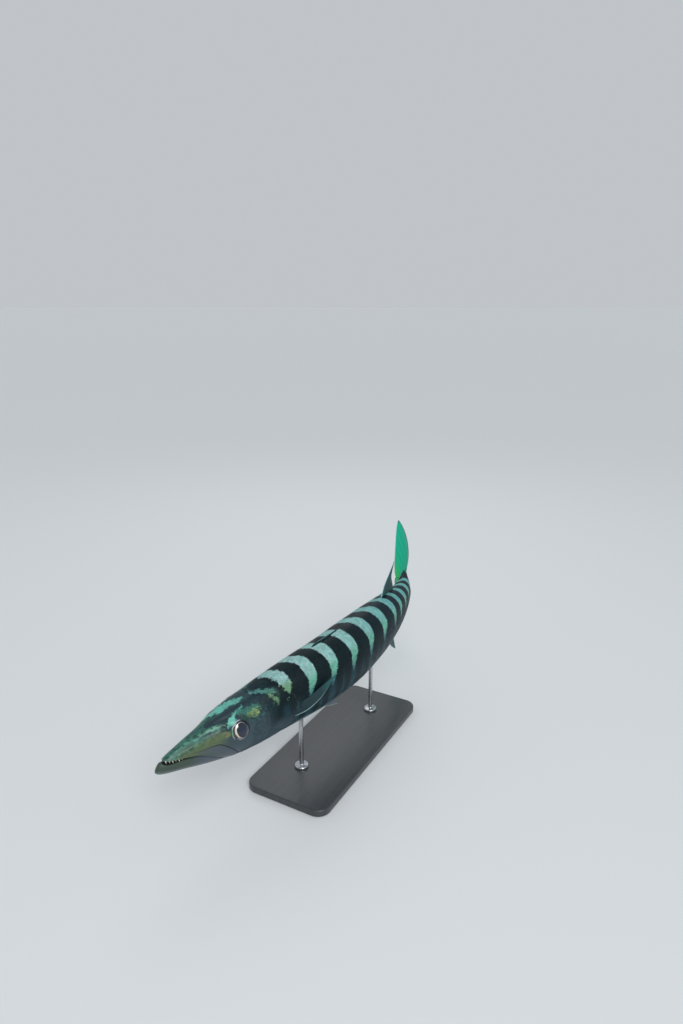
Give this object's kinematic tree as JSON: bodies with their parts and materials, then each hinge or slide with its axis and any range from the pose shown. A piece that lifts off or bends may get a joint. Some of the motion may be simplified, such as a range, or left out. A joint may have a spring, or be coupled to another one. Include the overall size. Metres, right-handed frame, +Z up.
{
  "type": "life-size pickhandle barracuda model on a display stand",
  "caption": "Life-size barracuda, banded back, long jaws closed, tail bent to its right as it swims, held on a flat base by two rods.",
  "frame": {"origin": "centre of the whole model's box, at the level that the stand's base rests on", "axes": "+X from the chin towards the tail along the fish's whole length, +Y to the fish's right, +Z up"},
  "size_m": [0.9618, 0.2054, 0.3431],
  "materials": {
    "skin": "painted fish skin, near-black teal saddles and pale sea-green bands over a silver-grey belly, satin",
    "scale": "small overlapping scales with the skin's own markings, satin",
    "fin": "thin rayed membrane, dusky with pale rays",
    "tail_fin": "thin rayed membrane, bright green with yellow-green inner rays",
    "eye": "glossy, dark iris, thin silver ring, deep blue pupil",
    "tooth": "ivory, glossy",
    "stand_base": "painted satin dark grey",
    "stand_rod": "fine brushed"
  },
  "bodies": {
    "root": {"snout": "skin", "lower_jaw": "skin", "head": "skin", "gill_cover_left": "skin", "gill_cover_right": "skin", "eye_left": "eye", "eye_right": "eye", "trunk_front": "skin", "trunk_middle": "skin", "trunk_rear": "skin", "tail_stalk": "skin", "dorsal_fin_first": "fin", "dorsal_fin_second": "fin", "anal_fin": "fin", "pectoral_fin_left": "fin", "pectoral_fin_right": "fin", "pelvic_fin_left": "fin", "pelvic_fin_right": "fin", "tail_fin_upper": "tail_fin", "tail_fin_lower": "tail_fin", "stand_base": "stand_base", "stand_rod_front": "stand_rod", "stand_rod_rear": "stand_rod"}
  },
  "joints": []
}
